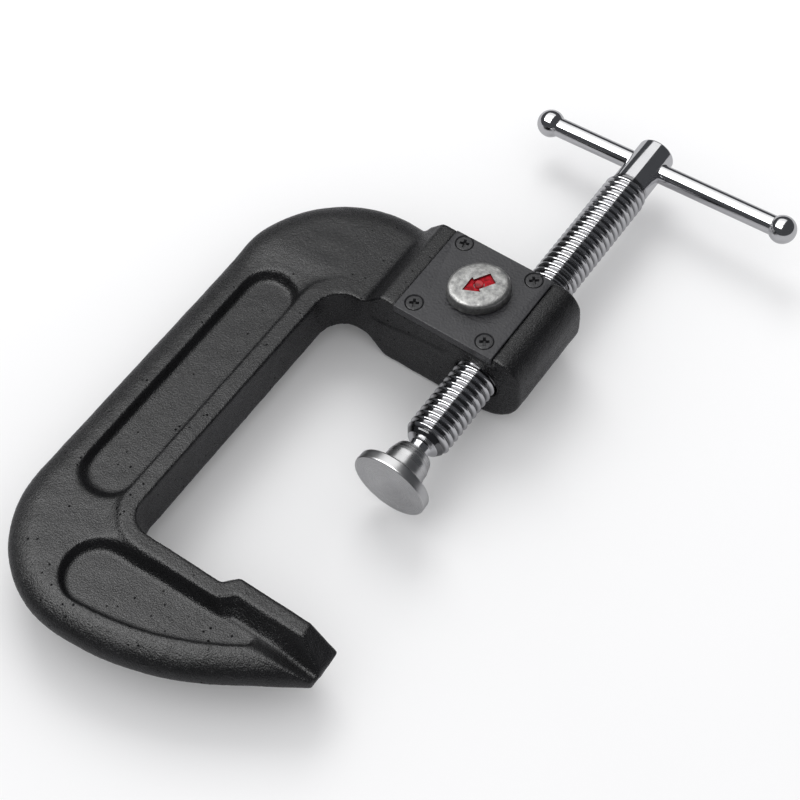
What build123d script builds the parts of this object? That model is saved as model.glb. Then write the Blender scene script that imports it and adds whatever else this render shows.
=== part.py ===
"""Quick-release C clamp, modelled as separate pieces in millimetres.

The origin is on the screw axis in the plane of the fixed jaw face.
X runs from the spine toward the open side, Y runs along the screw from the fixed
jaw toward the handle, and Z is normal to the broad face, with the release knob on top.
"""

from build123d import *
from math import ceil, cos, radians, sin, sqrt, tan
import os

# Frame casting: the C in plan
THROAT = 68.7
SPINE_OUTER = 114.8
ARM_CENTRE = (-63.5, 121.0)
ARM_TOP_Y = 172.3
LOWER_CENTRE = (-66.8, -4.5)
LOWER_RADIUS = 48.0
BELLY_RADIUS = 120.0
BELLY_TURN = 32.0
NOSE_X = 25.2
JAW_LEFT = -18.4
JAW_STEP = 5.2
JAW_STEP_RUN = 5.0
LOWER_INNER_RADIUS = 9.5
UPPER_INNER_RADIUS = 11.0
BODY_HALF = 11.0
OUTER_ROUND = 7.0
NOSE_BEVEL_X = 13.6
NOSE_BEVEL_SLANT = 0.153
NOSE_ROUND = 3.0
ON_ARM_Y = 144.8
BELOW_THROAT_Y = -12.0
OVERCUT = 1.0
LONG_CUT = 40.0

# Slope that falls from the jaw strip to the arm pocket and out through the nose
JAW_STRIP_Y = -6.2
ARM_STRIP_Y = -11.2
SLOPE_FOOT = (-22.0, -15.2)
SLOPE_FAR_Y = -24.0
SLOPE_LEFT_X = -25.7

# Pockets sunk in both broad faces
POCKET_FLOOR = 6.0
SPINE_POCKET_X = (-98.6, -79.2)
SPINE_POCKET_Y = (2.2, 113.4)
SPINE_POCKET_ROUND = 0.46
SPINE_POCKET_SLOPE = 3.0
ARM_POCKET_HEEL = ((-65.5, -30.5), 9.6)
ARM_POCKET_TIP = ((-0.5, -17.4), 1.6)
ARM_POCKET_TOP_ANGLE = 94.0
ARM_POCKET_HEEL_ANGLE = 263.0
ARM_POCKET_TIP_ANGLE = -40.0
ARM_POCKET_BULGE = 6.5
ARM_POCKET_SLOPE = 5.0
ARM_POCKET_SHIFT = 2.0

# Boss round the screw
BOSS_FRONT = 124.8
BOSS_REAR = 170.0
BOSS_HALF = 20.2
BOSS_STEP_X = -45.0
BOSS_FOOT_X = -53.2
BOSS_FOOT_Z = 11.8
BOSS_TOP_ROUND = 11.0
BOSS_END_X = 20.9
BOSS_SIDE_FOOT_Z = 2.0
BOSS_UNDER_X = 1.0
BOSS_LOW_ANGLE = -42.0
BOSS_EDGE_ROUND = 0.8
BOSS_ROOT = 14.0
BOSS_ROOT_INSET = 0.8

# Cover plate and its screws
PLATE_X = (-37.9, 7.4)
PLATE_Y = (125.5, 169.6)
PLATE_BOTTOM = 16.2
PLATE_GAP = 0.25
PLATE_CHAMFER = 0.5
SEAT_OVERRUN = 5.0
SCREW_X = (-32.6, 0.6)
SCREW_Y = (130.7, 165.9)
SCREW_HEAD_R = 3.75
SCREW_SHANK_R = 2.0
SCREW_TIP_Z = 11.2
SCREW_TIP_GAP = 0.4
SCREW_HEAD_LAND = 0.3
SCREW_FIT = 0.05
CROSS_WIDTH = 0.9
CROSS_SPAN = 4.2
CROSS_DEPTH = 1.6

# Screw (spindle), revolved about Y
THREAD_PITCH = 3.175
CREST_R = 9.525
ROOT_R = 7.95
CREST_WIDTH = 1.15
FLANK_WIDTH = 0.55
BORE_R = 9.6
BORE_CHAMFER = 0.9
SPINDLE_SHOULDER = (7.0, 88.9)
SHOULDER_CONE = 1.3
THREAD_FULL_START = 92.4
THREAD_END = 240.7
HEAD_R = 8.27
HEAD_END = 264.0
HEAD_CHAMFER = 0.9
THREAD_RUNOUT = 1.0
HEAD_SHOULDER = 2.4
NECK_R = 4.6
INNER_NECK_R = 3.5
INNER_NECK_TOP = 83.2
NECK_CONE_TOP = 84.3
BALL_Y = 75.5
BALL_R = 5.9

# Swivel pad and the ring that holds the ball in it
PAD_FRONT = 66.2
PAD_R = 16.1
PAD_BACK = 70.8
PAD_BACK_R = 15.7
PAD_EDGE = 0.6
PAD_RIM = (0.3, 0.9)
PAD_BACK_EDGE = (0.9, 0.3)
COLLAR_BASE = 71.8
COLLAR_R = 9.0
COLLAR_FOOT = (1.2, 1.0)
COLLAR_BULGE = (0.6, 2.5)
COLLAR_SHOULDER = 79.0
COLLAR_MOUTH = 84.5
COLLAR_TOP_R = 6.3
SOCKET_FIT = 0.08
GROOVE_START = 79.5
GROOVE_R = 6.3
LIP = (82.1, 83.1)
LIP_R = 4.75
MOUTH_R = 5.9
MOUTH_Y = 83.9
RING_Y = 80.5
RING_MEAN_R = 4.6
RING_WIRE_R = 0.6

# Sliding handle
HANDLE_Y = 255.2
HANDLE_ANGLE = 2.9
BAR_R = 4.22
BAR_FIT = 0.08
BALL_END_R = 6.0
LEFT_BALL = -47.9
RIGHT_BALL = 64.9
TENON_R = 2.8
TENON_LENGTH = 5.0

# Release knob, cam and half nut
KNOB_X = -14.3
KNOB_Y = 149.1
KNOB_LONG = 13.1
KNOB_SHORT = 11.5
KNOB_SHRINK = 0.8
KNOB_ANGLE = 45.0
KNOB_BASE_Z = 20.5
KNOB_TOP_Z = 26.0
KNOB_ROUND = 1.4
ARROW_DIRECTION = 238.0
ARROW_DEPTH = 0.7
ARROW_FILL = 0.5
ARROW_TIP = 7.2
ARROW_HEAD_HALF = 3.9
ARROW_HEAD_BACK = 1.2
ARROW_SHAFT_HALF = 2.5
ARROW_TAIL = 6.0
SHAFT_R = 4.0
SHAFT_FIT = 0.08
STUD_R = 1.9
STUD_SINK = 0.1
STUD_ROOT = 1.0
STUD_CHAMFER = 0.4
CAM_R = 7.0
CAM_THROW = 1.77
CAM_REST_ANGLE = 45.0
CAM_Z = (10.8, 15.0)
WASHER_R = (4.4, 6.2)
WASHER_Z = (15.2, 16.0)
NUT_X = (-24.0, -1.0)
NUT_Y = (139.5, 161.5)
NUT_Z = (-11.5, 15.1)
NUT_TRAVEL = 2.5
NUT_CLEARANCE = 0.35
NUT_CHAMFER = 1.0
WINDOW_GAP = 0.3
WINDOW_FLOOR = 10.4
WINDOW_Y = (142.9, 158.3)


def belly_end():
    """Point where the rounded belly of the lower arm runs out into a straight."""
    x0 = LOWER_CENTRE[0]
    y0 = LOWER_CENTRE[1] - LOWER_RADIUS
    turn = radians(BELLY_TURN)
    return (x0 + BELLY_RADIUS * sin(turn), y0 + BELLY_RADIUS * (1 - cos(turn)))


def arc_point(centre, radius, angle):
    """Point on a circle at an angle in degrees."""
    a = radians(angle)
    return (centre[0] + radius * cos(a), centre[1] + radius * sin(a))


def frame_plan():
    """Closed plan outline of the C."""
    arm_top = (ARM_CENTRE[0], ARM_TOP_Y)
    arm_left = (-SPINE_OUTER, ARM_CENTRE[1])
    arm_mid = arc_point(ARM_CENTRE, ARM_TOP_Y - ARM_CENTRE[1], 135)
    heel_start = (LOWER_CENTRE[0] - LOWER_RADIUS, LOWER_CENTRE[1])
    heel_end = (LOWER_CENTRE[0], LOWER_CENTRE[1] - LOWER_RADIUS)
    heel_mid = arc_point(LOWER_CENTRE, LOWER_RADIUS, 225)
    straight = belly_end()
    half_turn = radians(BELLY_TURN / 2)
    belly_mid = (
        heel_end[0] + BELLY_RADIUS * sin(half_turn),
        heel_end[1] + BELLY_RADIUS * (1 - cos(half_turn)),
    )
    nose_y = straight[1] + (NOSE_X - straight[0]) * tan(radians(BELLY_TURN))
    step_foot = (JAW_LEFT - JAW_STEP_RUN, -JAW_STEP)
    low = LOWER_INNER_RADIUS
    low_centre = (-THROAT + low, -JAW_STEP + low)
    high = UPPER_INNER_RADIUS
    high_centre = (-THROAT + high, BOSS_FRONT - high)
    with BuildLine() as line:
        Line((BOSS_STEP_X, BOSS_FRONT), (BOSS_STEP_X, BOSS_REAR))
        TangentArc(arm_top, (BOSS_STEP_X, BOSS_REAR), tangent=(1, 0))
        ThreePointArc(arm_top, arm_mid, arm_left)
        Line(arm_left, heel_start)
        ThreePointArc(heel_start, heel_mid, heel_end)
        ThreePointArc(heel_end, belly_mid, straight)
        Line(straight, (NOSE_X, nose_y))
        Line((NOSE_X, nose_y), (NOSE_X, 0))
        Line((NOSE_X, 0), (JAW_LEFT, 0))
        Line((JAW_LEFT, 0), step_foot)
        Line(step_foot, (low_centre[0], -JAW_STEP))
        ThreePointArc(
            (low_centre[0], -JAW_STEP), arc_point(low_centre, low, 225), (-THROAT, low_centre[1])
        )
        Line((-THROAT, low_centre[1]), (-THROAT, high_centre[1]))
        ThreePointArc(
            (-THROAT, high_centre[1]), arc_point(high_centre, high, 135), (high_centre[0], BOSS_FRONT)
        )
        Line((high_centre[0], BOSS_FRONT), (BOSS_STEP_X, BOSS_FRONT))
    outline = make_face(line.line)
    corner = outline.vertices().sort_by_distance(Vertex(NOSE_X, nose_y, 0))[0]
    return fillet(corner, radius=NOSE_ROUND)


def outer_edges(body):
    """Edges of both broad faces that follow the outside of the C."""
    chosen = []
    for edge in body.edges():
        middle = edge.position_at(0.5)
        on_face = abs(abs(middle.Z) - BODY_HALF) < 0.01
        on_arm = middle.Y > ON_ARM_Y and middle.X < BOSS_STEP_X
        on_spine = middle.X < -(THROAT + SPINE_OUTER) / 2
        on_belly = middle.Y < BELOW_THROAT_Y
        if on_face and (on_arm or on_spine or on_belly):
            chosen.append(edge)
    return chosen


def spine_pocket_face(grow):
    """Outline of the long pocket in the spine, grown outward."""
    width = SPINE_POCKET_X[1] - SPINE_POCKET_X[0]
    length = SPINE_POCKET_Y[1] - SPINE_POCKET_Y[0]
    centre = (sum(SPINE_POCKET_X) / 2, sum(SPINE_POCKET_Y) / 2)
    corner = width * SPINE_POCKET_ROUND + grow
    return Pos(*centre) * RectangleRounded(width + 2 * grow, length + 2 * grow, corner)


def arm_pocket_face(grow):
    """Outline of the leaf-shaped pocket in the lower arm, grown outward."""
    heel, heel_r = ARM_POCKET_HEEL
    tip, tip_r = ARM_POCKET_TIP
    heel_r += grow
    tip_r += grow
    heel_top = arc_point(heel, heel_r, ARM_POCKET_TOP_ANGLE)
    heel_mid = arc_point(heel, heel_r, 180)
    heel_low = arc_point(heel, heel_r, ARM_POCKET_HEEL_ANGLE)
    tip_low = arc_point(tip, tip_r, ARM_POCKET_TIP_ANGLE)
    tip_mid = arc_point(tip, tip_r, 30)
    tip_top = arc_point(tip, tip_r, ARM_POCKET_TOP_ANGLE)
    chord = (tip_low[0] - heel_low[0], tip_low[1] - heel_low[1])
    span = sqrt(chord[0] ** 2 + chord[1] ** 2)
    belly = (
        (heel_low[0] + tip_low[0]) / 2 + ARM_POCKET_BULGE * chord[1] / span,
        (heel_low[1] + tip_low[1]) / 2 - ARM_POCKET_BULGE * chord[0] / span,
    )
    with BuildLine() as line:
        Line(tip_top, heel_top)
        ThreePointArc(heel_top, heel_mid, heel_low)
        ThreePointArc(heel_low, belly, tip_low)
        ThreePointArc(tip_low, tip_mid, tip_top)
    return make_face(line.line)


def pockets():
    """Solids that sink the pockets into both broad faces."""
    rise = BODY_HALF - POCKET_FLOOR
    reach = (rise + OVERCUT) / rise
    cutters = []
    for outline, grow, shift in (
        (spine_pocket_face, SPINE_POCKET_SLOPE, 0),
        (arm_pocket_face, ARM_POCKET_SLOPE, ARM_POCKET_SHIFT),
    ):
        floor = Pos(0, 0, POCKET_FLOOR) * outline(0)
        rim = Pos(0, shift * reach, POCKET_FLOOR + rise * reach) * outline(grow * reach)
        upper = loft([floor, rim], ruled=True)
        cutters.append(upper)
        cutters.append(mirror(upper, about=Plane.XY))
    return cutters


def nose_bevel(side):
    """Wedge taken off the nose so that it tapers to its mid plane."""
    top = BODY_HALF + OVERCUT
    run = (NOSE_X - NOSE_BEVEL_X) * top / BODY_HALF
    points = [
        (NOSE_X - run, side * top),
        (NOSE_X + run, side * top),
        (NOSE_X + run, 0),
        (NOSE_X, 0),
    ]
    profile = Plane.XZ * make_face(Polyline(*points, close=True).edges())
    return extrude(profile, amount=LONG_CUT, dir=(NOSE_BEVEL_SLANT, -1, 0), both=True)


def jaw_slope():
    """Wedge with its foot along the arm that frees the jaw strip from the pocket to the nose."""
    top = BODY_HALF + OVERCUT
    rise = (top - POCKET_FLOOR) / (BODY_HALF - POCKET_FLOOR)
    foot_x, foot_y = SLOPE_FOOT
    far_x = NOSE_X + LONG_CUT

    def raised(x, y):
        return (foot_x + (x - foot_x) * rise, foot_y + (y - foot_y) * rise, top)

    low_left = (foot_x, foot_y, POCKET_FLOOR)
    low_right = (far_x, foot_y, POCKET_FLOOR)
    strip_left = raised(JAW_LEFT, JAW_STRIP_Y)
    strip_right = (far_x, strip_left[1], top)
    arm_left = raised(SLOPE_LEFT_X, ARM_STRIP_Y)
    outer_left = raised(SLOPE_LEFT_X, SLOPE_FAR_Y)
    outer_right = (far_x, outer_left[1], top)
    corners = [
        (strip_left, strip_right, low_right, low_left),
        (arm_left, strip_left, low_left),
        (outer_left, arm_left, low_left),
        (outer_right, outer_left, low_left, low_right),
        (strip_right, outer_right, low_right),
        (strip_left, arm_left, outer_left, outer_right, strip_right),
    ]
    faces = [make_face(Polyline(*loop, close=True).edges()) for loop in corners]
    return Solid(Shell(faces))


def boss_block():
    """Boss round the screw, with sloping steps down to the arm and a rounded end."""
    top = BOSS_HALF
    round_x = BOSS_END_X - BOSS_TOP_ROUND
    round_z = top - BOSS_TOP_ROUND
    top_mid = arc_point((round_x, round_z), BOSS_TOP_ROUND, 45)
    low_mid = arc_point((0, 0), BOSS_HALF, BOSS_LOW_ANGLE)
    side_foot = (BOSS_END_X, BOSS_SIDE_FOOT_Z)
    under = (BOSS_UNDER_X, -top)
    root_x = BOSS_FOOT_X - BOSS_ROOT
    root_z = BODY_HALF - BOSS_ROOT_INSET
    with BuildLine() as line:
        Polyline((root_x, root_z), (BOSS_FOOT_X, BOSS_FOOT_Z), (BOSS_STEP_X, top), (round_x, top))
        ThreePointArc((round_x, top), top_mid, (BOSS_END_X, round_z))
        Line((BOSS_END_X, round_z), side_foot)
        ThreePointArc(side_foot, low_mid, under)
        Polyline(under, (BOSS_STEP_X, -top), (BOSS_FOOT_X, -BOSS_FOOT_Z), (root_x, -root_z))
        Line((root_x, -root_z), (root_x, root_z))
    profile = Plane.XZ * make_face(line.line)
    block = extrude(profile, amount=-(BOSS_REAR - BOSS_FRONT))
    block = Pos(0, BOSS_FRONT - block.bounding_box().min.Y, 0) * block
    ends = [
        e
        for e in block.edges()
        if abs(e.position_at(0).Y - e.position_at(1).Y) < 0.01
        and e.position_at(0.5).X > BOSS_STEP_X - 1
    ]
    return fillet(ends, radius=BOSS_EDGE_ROUND)


def nut_cavity():
    """Room in the boss for the half nut and its travel, open at the top."""
    x0 = NUT_X[0] - NUT_TRAVEL - NUT_CLEARANCE
    x1 = NUT_X[1] + NUT_CLEARANCE
    y0 = NUT_Y[0] - NUT_CLEARANCE
    y1 = NUT_Y[1] + NUT_CLEARANCE
    z0 = NUT_Z[0] - NUT_CLEARANCE
    return box_between((x0, y0, z0), (x1, y1, PLATE_BOTTOM + OVERCUT))


def box_between(low, high):
    """Box given by two opposite corners."""
    size = [b - a for a, b in zip(low, high)]
    middle = [(a + b) / 2 for a, b in zip(low, high)]
    return Pos(*middle) * Box(*size)


def rod(radius, start, end, x=0.0, z=0.0):
    """Round rod along Y."""
    length = end - start
    return Pos(x, (start + end) / 2, z) * Rot(90, 0, 0) * Cylinder(radius, length)


def post(radius, bottom, top, x, y):
    """Round post along Z."""
    return Pos(x, y, (bottom + top) / 2) * Cylinder(radius, top - bottom)


def turned(points):
    """Solid turned about Y from (radius, y) points."""
    face = make_face(Polyline(*points, close=True).edges())
    return revolve(face, axis=Axis.Y)


def bore_mouth(face_y, inward):
    """Chamfer at one mouth of the screw bore; inward is the Y direction into the boss."""
    wide = BORE_R + BORE_CHAMFER
    points = [
        (0, face_y - inward * OVERCUT),
        (wide + OVERCUT, face_y - inward * OVERCUT),
        (wide, face_y),
        (BORE_R, face_y + inward * BORE_CHAMFER),
        (0, face_y + inward * BORE_CHAMFER),
    ]
    return turned(points)


def screw_places():
    """Plan positions of the four cover screws."""
    return [(x, y) for y in SCREW_Y for x in SCREW_X]


def boss_trim():
    """Space the boss may fill: the C itself and everything in front of its step."""
    beside = box_between(
        (BOSS_STEP_X, BOSS_FRONT - SEAT_OVERRUN, -LONG_CUT),
        (LONG_CUT, BOSS_REAR + SEAT_OVERRUN, LONG_CUT),
    )
    return extrude(frame_plan(), amount=LONG_CUT, both=True) + beside


def plate_seat():
    """Room for the cover plate across the top of the boss."""
    return box_between(
        (PLATE_X[0] - PLATE_GAP, BOSS_FRONT - SEAT_OVERRUN, PLATE_BOTTOM),
        (PLATE_X[1] + PLATE_GAP, BOSS_REAR + SEAT_OVERRUN, BOSS_HALF + SEAT_OVERRUN),
    )


def make_frame():
    """The C casting with its boss, pockets, bore, plate seat and screw holes."""
    body = extrude(frame_plan(), amount=BODY_HALF, both=True)
    body = fillet(outer_edges(body), radius=OUTER_ROUND)
    slope = jaw_slope()
    for cutter in (*pockets(), slope, mirror(slope, about=Plane.XY)):
        body -= cutter
    for side in (-1, 1):
        body -= nose_bevel(side)
    body += boss_block() & boss_trim()
    body -= rod(BORE_R, BOSS_FRONT - OVERCUT, BOSS_REAR + OVERCUT)
    body -= bore_mouth(BOSS_FRONT, 1)
    body -= bore_mouth(BOSS_REAR, -1)
    body -= plate_seat()
    body -= nut_cavity()
    hole_bottom = SCREW_TIP_Z - SCREW_TIP_GAP
    for x, y in screw_places():
        body -= post(SCREW_SHANK_R + SCREW_FIT, hole_bottom, PLATE_BOTTOM + OVERCUT, x, y)
    return body


def countersink(extra, top):
    """Cone and shank of one cover screw about the Z axis, grown by extra and reaching up to top."""
    cone_top = BOSS_HALF - SCREW_HEAD_LAND
    drop = SCREW_HEAD_R - SCREW_SHANK_R
    r_head = SCREW_HEAD_R + extra
    r_shank = SCREW_SHANK_R + extra
    points = [
        (0, SCREW_TIP_Z - extra),
        (r_shank, SCREW_TIP_Z - extra),
        (r_shank, cone_top - drop),
        (r_head, cone_top),
        (r_head, top),
        (0, top),
    ]
    face = make_face(Polyline(*points, close=True).edges())
    return revolve(Plane.XZ * face, axis=Axis.Z)


def make_cover_plate():
    """Plate that closes the nut cavity, flush with the top of the boss."""
    plate = box_between((PLATE_X[0], PLATE_Y[0], PLATE_BOTTOM), (PLATE_X[1], PLATE_Y[1], BOSS_HALF))
    top_edges = plate.faces().sort_by(Axis.Z)[-1].edges()
    plate = chamfer(top_edges, length=PLATE_CHAMFER)
    for x, y in screw_places():
        plate -= Pos(x, y, 0) * countersink(SCREW_FIT, BOSS_HALF + OVERCUT)
    bottom, top = PLATE_BOTTOM - OVERCUT, BOSS_HALF + OVERCUT
    plate -= post(SHAFT_R + SHAFT_FIT, bottom, top, KNOB_X, KNOB_Y)
    return plate


def make_cover_screw():
    """Countersunk screw with a cross recess, standing on the Z axis."""
    screw = countersink(0, BOSS_HALF)
    slot = box_between(
        (-CROSS_SPAN / 2, -CROSS_WIDTH / 2, BOSS_HALF - CROSS_DEPTH),
        (CROSS_SPAN / 2, CROSS_WIDTH / 2, BOSS_HALF + OVERCUT),
    )
    for angle in (0, 90):
        screw -= Rot(0, 0, angle) * slot
    return screw


def crest_limit(y):
    """Largest thread radius at y, cut down by the lead-in cone."""
    r0, y0 = SPINDLE_SHOULDER
    if y >= THREAD_FULL_START:
        return CREST_R
    return r0 + (CREST_R - r0) * (y - y0) / (THREAD_FULL_START - y0)


def thread_profile():
    """(radius, y) points of the thread, drawn as grooves one pitch apart."""
    points = []
    start = SPINDLE_SHOULDER[1]
    count = ceil((THREAD_END - start) / THREAD_PITCH)
    for i in range(count):
        y = THREAD_END - (count - i) * THREAD_PITCH + FLANK_WIDTH
        land = (y + FLANK_WIDTH, y + FLANK_WIDTH + CREST_WIDTH)
        if y <= start + FLANK_WIDTH:
            continue
        points.append((ROOT_R, y))
        points.append((crest_limit(land[0]), land[0]))
        points.append((crest_limit(land[1]), land[1]))
        points.append((ROOT_R, land[1] + FLANK_WIDTH))
    return points


def make_spindle():
    """Screw with its ball end, neck, thread, plain head and cross hole."""
    neck_ball = sqrt(BALL_R**2 - INNER_NECK_R**2)
    r0, y0 = SPINDLE_SHOULDER
    points = [
        (INNER_NECK_R, BALL_Y + neck_ball),
        (INNER_NECK_R, INNER_NECK_TOP),
        (NECK_R, NECK_CONE_TOP),
        (NECK_R, y0 - SHOULDER_CONE),
        (r0, y0),
        *thread_profile(),
        (ROOT_R, THREAD_END + THREAD_RUNOUT),
        (HEAD_R, THREAD_END + HEAD_SHOULDER),
        (HEAD_R, HEAD_END - HEAD_CHAMFER),
        (HEAD_R - HEAD_CHAMFER, HEAD_END),
        (0, HEAD_END),
    ]
    lowest = (0, BALL_Y - BALL_R)
    ball_mid = (BALL_R, BALL_Y)
    with BuildLine() as line:
        Polyline(*points)
        Line(points[-1], lowest)
        ThreePointArc(lowest, ball_mid, points[0])
    spindle = revolve(make_face(line.line), axis=Axis.Y)
    cross = Rot(0, 90 - HANDLE_ANGLE, 0) * Cylinder(BAR_R + BAR_FIT, LONG_CUT)
    return spindle - Pos(0, HANDLE_Y, 0) * cross


def make_swivel_pad():
    """Round pad with a collar that wraps the ball end."""
    socket = BALL_R + SOCKET_FIT
    outer = [
        (0, PAD_FRONT),
        (PAD_R - PAD_EDGE, PAD_FRONT),
        (PAD_R, PAD_FRONT + PAD_EDGE),
        (PAD_BACK_R + PAD_RIM[0], PAD_BACK - PAD_RIM[1]),
        (PAD_BACK_R, PAD_BACK - PAD_BACK_EDGE[1]),
        (PAD_BACK_R - PAD_BACK_EDGE[0], PAD_BACK),
        (COLLAR_R + COLLAR_FOOT[0], COLLAR_BASE),
        (COLLAR_R, COLLAR_BASE + COLLAR_FOOT[1]),
        (COLLAR_R, COLLAR_SHOULDER),
    ]
    inner = [
        (MOUTH_R, COLLAR_MOUTH),
        (MOUTH_R, MOUTH_Y),
        (LIP_R, LIP[1]),
        (LIP_R, LIP[0]),
        (GROOVE_R, LIP[0]),
        (GROOVE_R, GROOVE_START),
        (socket, GROOVE_START),
        (socket, BALL_Y),
    ]
    bottom = (0, BALL_Y - socket)
    quarter = sqrt(0.5) * socket
    bulge = (COLLAR_R - COLLAR_BULGE[0], COLLAR_MOUTH - COLLAR_BULGE[1])
    with BuildLine() as line:
        Polyline(*outer)
        ThreePointArc(outer[-1], bulge, (COLLAR_TOP_R, COLLAR_MOUTH))
        Line((COLLAR_TOP_R, COLLAR_MOUTH), inner[0])
        Polyline(*inner)
        ThreePointArc(inner[-1], (quarter, BALL_Y - quarter), bottom)
        Line(bottom, outer[0])
    return revolve(make_face(line.line), axis=Axis.Y)


def make_pad_ring():
    """Round ring behind the ball that keeps it in the pad."""
    return Pos(0, RING_Y, 0) * Rot(90, 0, 0) * Torus(RING_MEAN_R, RING_WIRE_R)


def on_handle(shape):
    """Places a shape drawn along X about the origin onto the handle axis."""
    return Pos(0, HANDLE_Y, 0) * Rot(0, -HANDLE_ANGLE, 0) * shape


def rod_x(radius, start, end):
    """Round rod along X."""
    return Pos((start + end) / 2, 0, 0) * Rot(0, 90, 0) * Cylinder(radius, end - start)


def make_handle_bar():
    """Sliding bar with a tenon at each end for the balls."""
    seat = sqrt(BALL_END_R**2 - BAR_R**2)
    bar = rod_x(BAR_R, LEFT_BALL + seat, RIGHT_BALL - seat)
    bar += rod_x(TENON_R, LEFT_BALL + seat - TENON_LENGTH, RIGHT_BALL - seat + TENON_LENGTH)
    return on_handle(bar)


def make_handle_ball(centre, side):
    """End ball with a flat and a hole that take the bar end; side points at the bar."""
    seat = sqrt(BALL_END_R**2 - BAR_R**2)
    ball = Pos(centre, 0, 0) * Sphere(BALL_END_R)
    beyond = centre + side * (seat + BALL_END_R / 2)
    ball -= Pos(beyond, 0, 0) * Box(BALL_END_R, 2 * BALL_END_R, 2 * BALL_END_R)
    hole = sorted((centre + side * (seat + OVERCUT), centre + side * (seat - TENON_LENGTH)))
    ball -= rod_x(TENON_R, *hole)
    return on_handle(ball)


def knob_local(shape):
    """Places a shape drawn about the origin in plan onto the knob axis."""
    return Pos(KNOB_X, KNOB_Y, 0) * shape


def arrow_solid(bottom, top):
    """Arrow prism about the knob axis, pointing along ARROW_DIRECTION."""
    points = [
        (ARROW_TIP, 0),
        (ARROW_HEAD_BACK, ARROW_HEAD_HALF),
        (ARROW_HEAD_BACK, ARROW_SHAFT_HALF),
        (-ARROW_TAIL, ARROW_SHAFT_HALF),
        (-ARROW_TAIL, -ARROW_SHAFT_HALF),
        (ARROW_HEAD_BACK, -ARROW_SHAFT_HALF),
        (ARROW_HEAD_BACK, -ARROW_HEAD_HALF),
    ]
    face = make_face(Polyline(*points, close=True).edges())
    prism = extrude(Pos(0, 0, bottom) * face, amount=top - bottom)
    return Rot(0, 0, ARROW_DIRECTION) * prism


def make_release_knob():
    """Oval knob with a sunk arrow and a hole for the cam shaft stud."""
    base = Pos(0, 0, KNOB_BASE_Z) * Ellipse(KNOB_LONG, KNOB_SHORT)
    crown = Pos(0, 0, KNOB_TOP_Z) * Ellipse(KNOB_LONG - KNOB_SHRINK, KNOB_SHORT - KNOB_SHRINK)
    knob = loft([base, crown])
    knob = fillet(knob.faces().sort_by(Axis.Z)[-1].edges(), radius=KNOB_ROUND)
    knob = Rot(0, 0, KNOB_ANGLE) * knob
    knob -= arrow_solid(KNOB_TOP_Z - ARROW_DEPTH, KNOB_TOP_Z + OVERCUT)
    knob -= post(STUD_R, KNOB_BASE_Z - OVERCUT, KNOB_TOP_Z + OVERCUT, 0, 0)
    return knob_local(knob)


def make_knob_arrow():
    """Paint that fills the sunk arrow round the shaft stud."""
    bottom = KNOB_TOP_Z - ARROW_DEPTH
    fill = arrow_solid(bottom, bottom + ARROW_FILL)
    fill -= post(STUD_R, bottom - OVERCUT, bottom + ARROW_FILL + OVERCUT, 0, 0)
    return knob_local(fill)


def make_cam_shaft():
    """Shaft with the eccentric that shifts the half nut and a stud for the knob."""
    angle = radians(CAM_REST_ANGLE)
    cam = post(CAM_R, *CAM_Z, CAM_THROW * cos(angle), CAM_THROW * sin(angle))
    shaft = post(SHAFT_R, CAM_Z[0], KNOB_BASE_Z, 0, 0)
    stud = post(STUD_R, KNOB_BASE_Z - STUD_ROOT, KNOB_TOP_Z - STUD_SINK, 0, 0)
    body = cam + shaft + stud
    crown = body.faces().sort_by(Axis.Z)[-1].edges()
    return knob_local(chamfer(crown, length=STUD_CHAMFER))


def make_wave_washer():
    """Spring washer between the cam and the cover plate."""
    hole = post(WASHER_R[0], WASHER_Z[0] - OVERCUT, WASHER_Z[1] + OVERCUT, 0, 0)
    return knob_local(post(WASHER_R[1], *WASHER_Z, 0, 0) - hole)


def make_half_nut():
    """Block with a half-round saddle for the screw and a window for the cam."""
    block = box_between((NUT_X[0], NUT_Y[0], NUT_Z[0]), (NUT_X[1], NUT_Y[1], NUT_Z[1]))
    back = block.faces().sort_by(Axis.X)[0]
    block = chamfer(back.edges().filter_by(Axis.Y), length=NUT_CHAMFER)
    block -= rod(BORE_R, NUT_Y[0] - OVERCUT, NUT_Y[1] + OVERCUT)
    middle = KNOB_X + CAM_THROW * cos(radians(CAM_REST_ANGLE))
    reach = CAM_R + WINDOW_GAP
    block -= box_between(
        (middle - reach, WINDOW_Y[0], WINDOW_FLOOR),
        (middle + reach, WINDOW_Y[1], NUT_Z[1] + OVERCUT),
    )
    return block


def save(shape, node):
    """Writes one node."""
    export_step(shape, f"parts/{node}.step")


os.makedirs("parts", exist_ok=True)
save(make_frame(), "frame")
save(make_cover_plate(), "cover_plate")
cover_screw = make_cover_screw()
for number, (x, y) in enumerate(screw_places(), start=1):
    save(Pos(x, y, 0) * cover_screw, f"cover_screw_{number}")
save(make_release_knob(), "release_knob")
save(make_knob_arrow(), "knob_arrow")
save(make_cam_shaft(), "cam_shaft")
save(make_wave_washer(), "wave_washer")
save(make_half_nut(), "half_nut")
save(make_spindle(), "spindle")
save(make_pad_ring(), "pad_retaining_ring")
save(make_swivel_pad(), "swivel_pad")
save(make_handle_bar(), "handle_bar")
save(make_handle_ball(LEFT_BALL, 1), "handle_ball_1")
save(make_handle_ball(RIGHT_BALL, -1), "handle_ball_2")
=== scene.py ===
"""Quick-release C clamp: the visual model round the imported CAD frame, in metres."""

from math import acos, ceil, cos, pi, radians, sin, sqrt

import bmesh
import bpy
import numpy as np
from mathutils import Matrix, Vector


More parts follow.
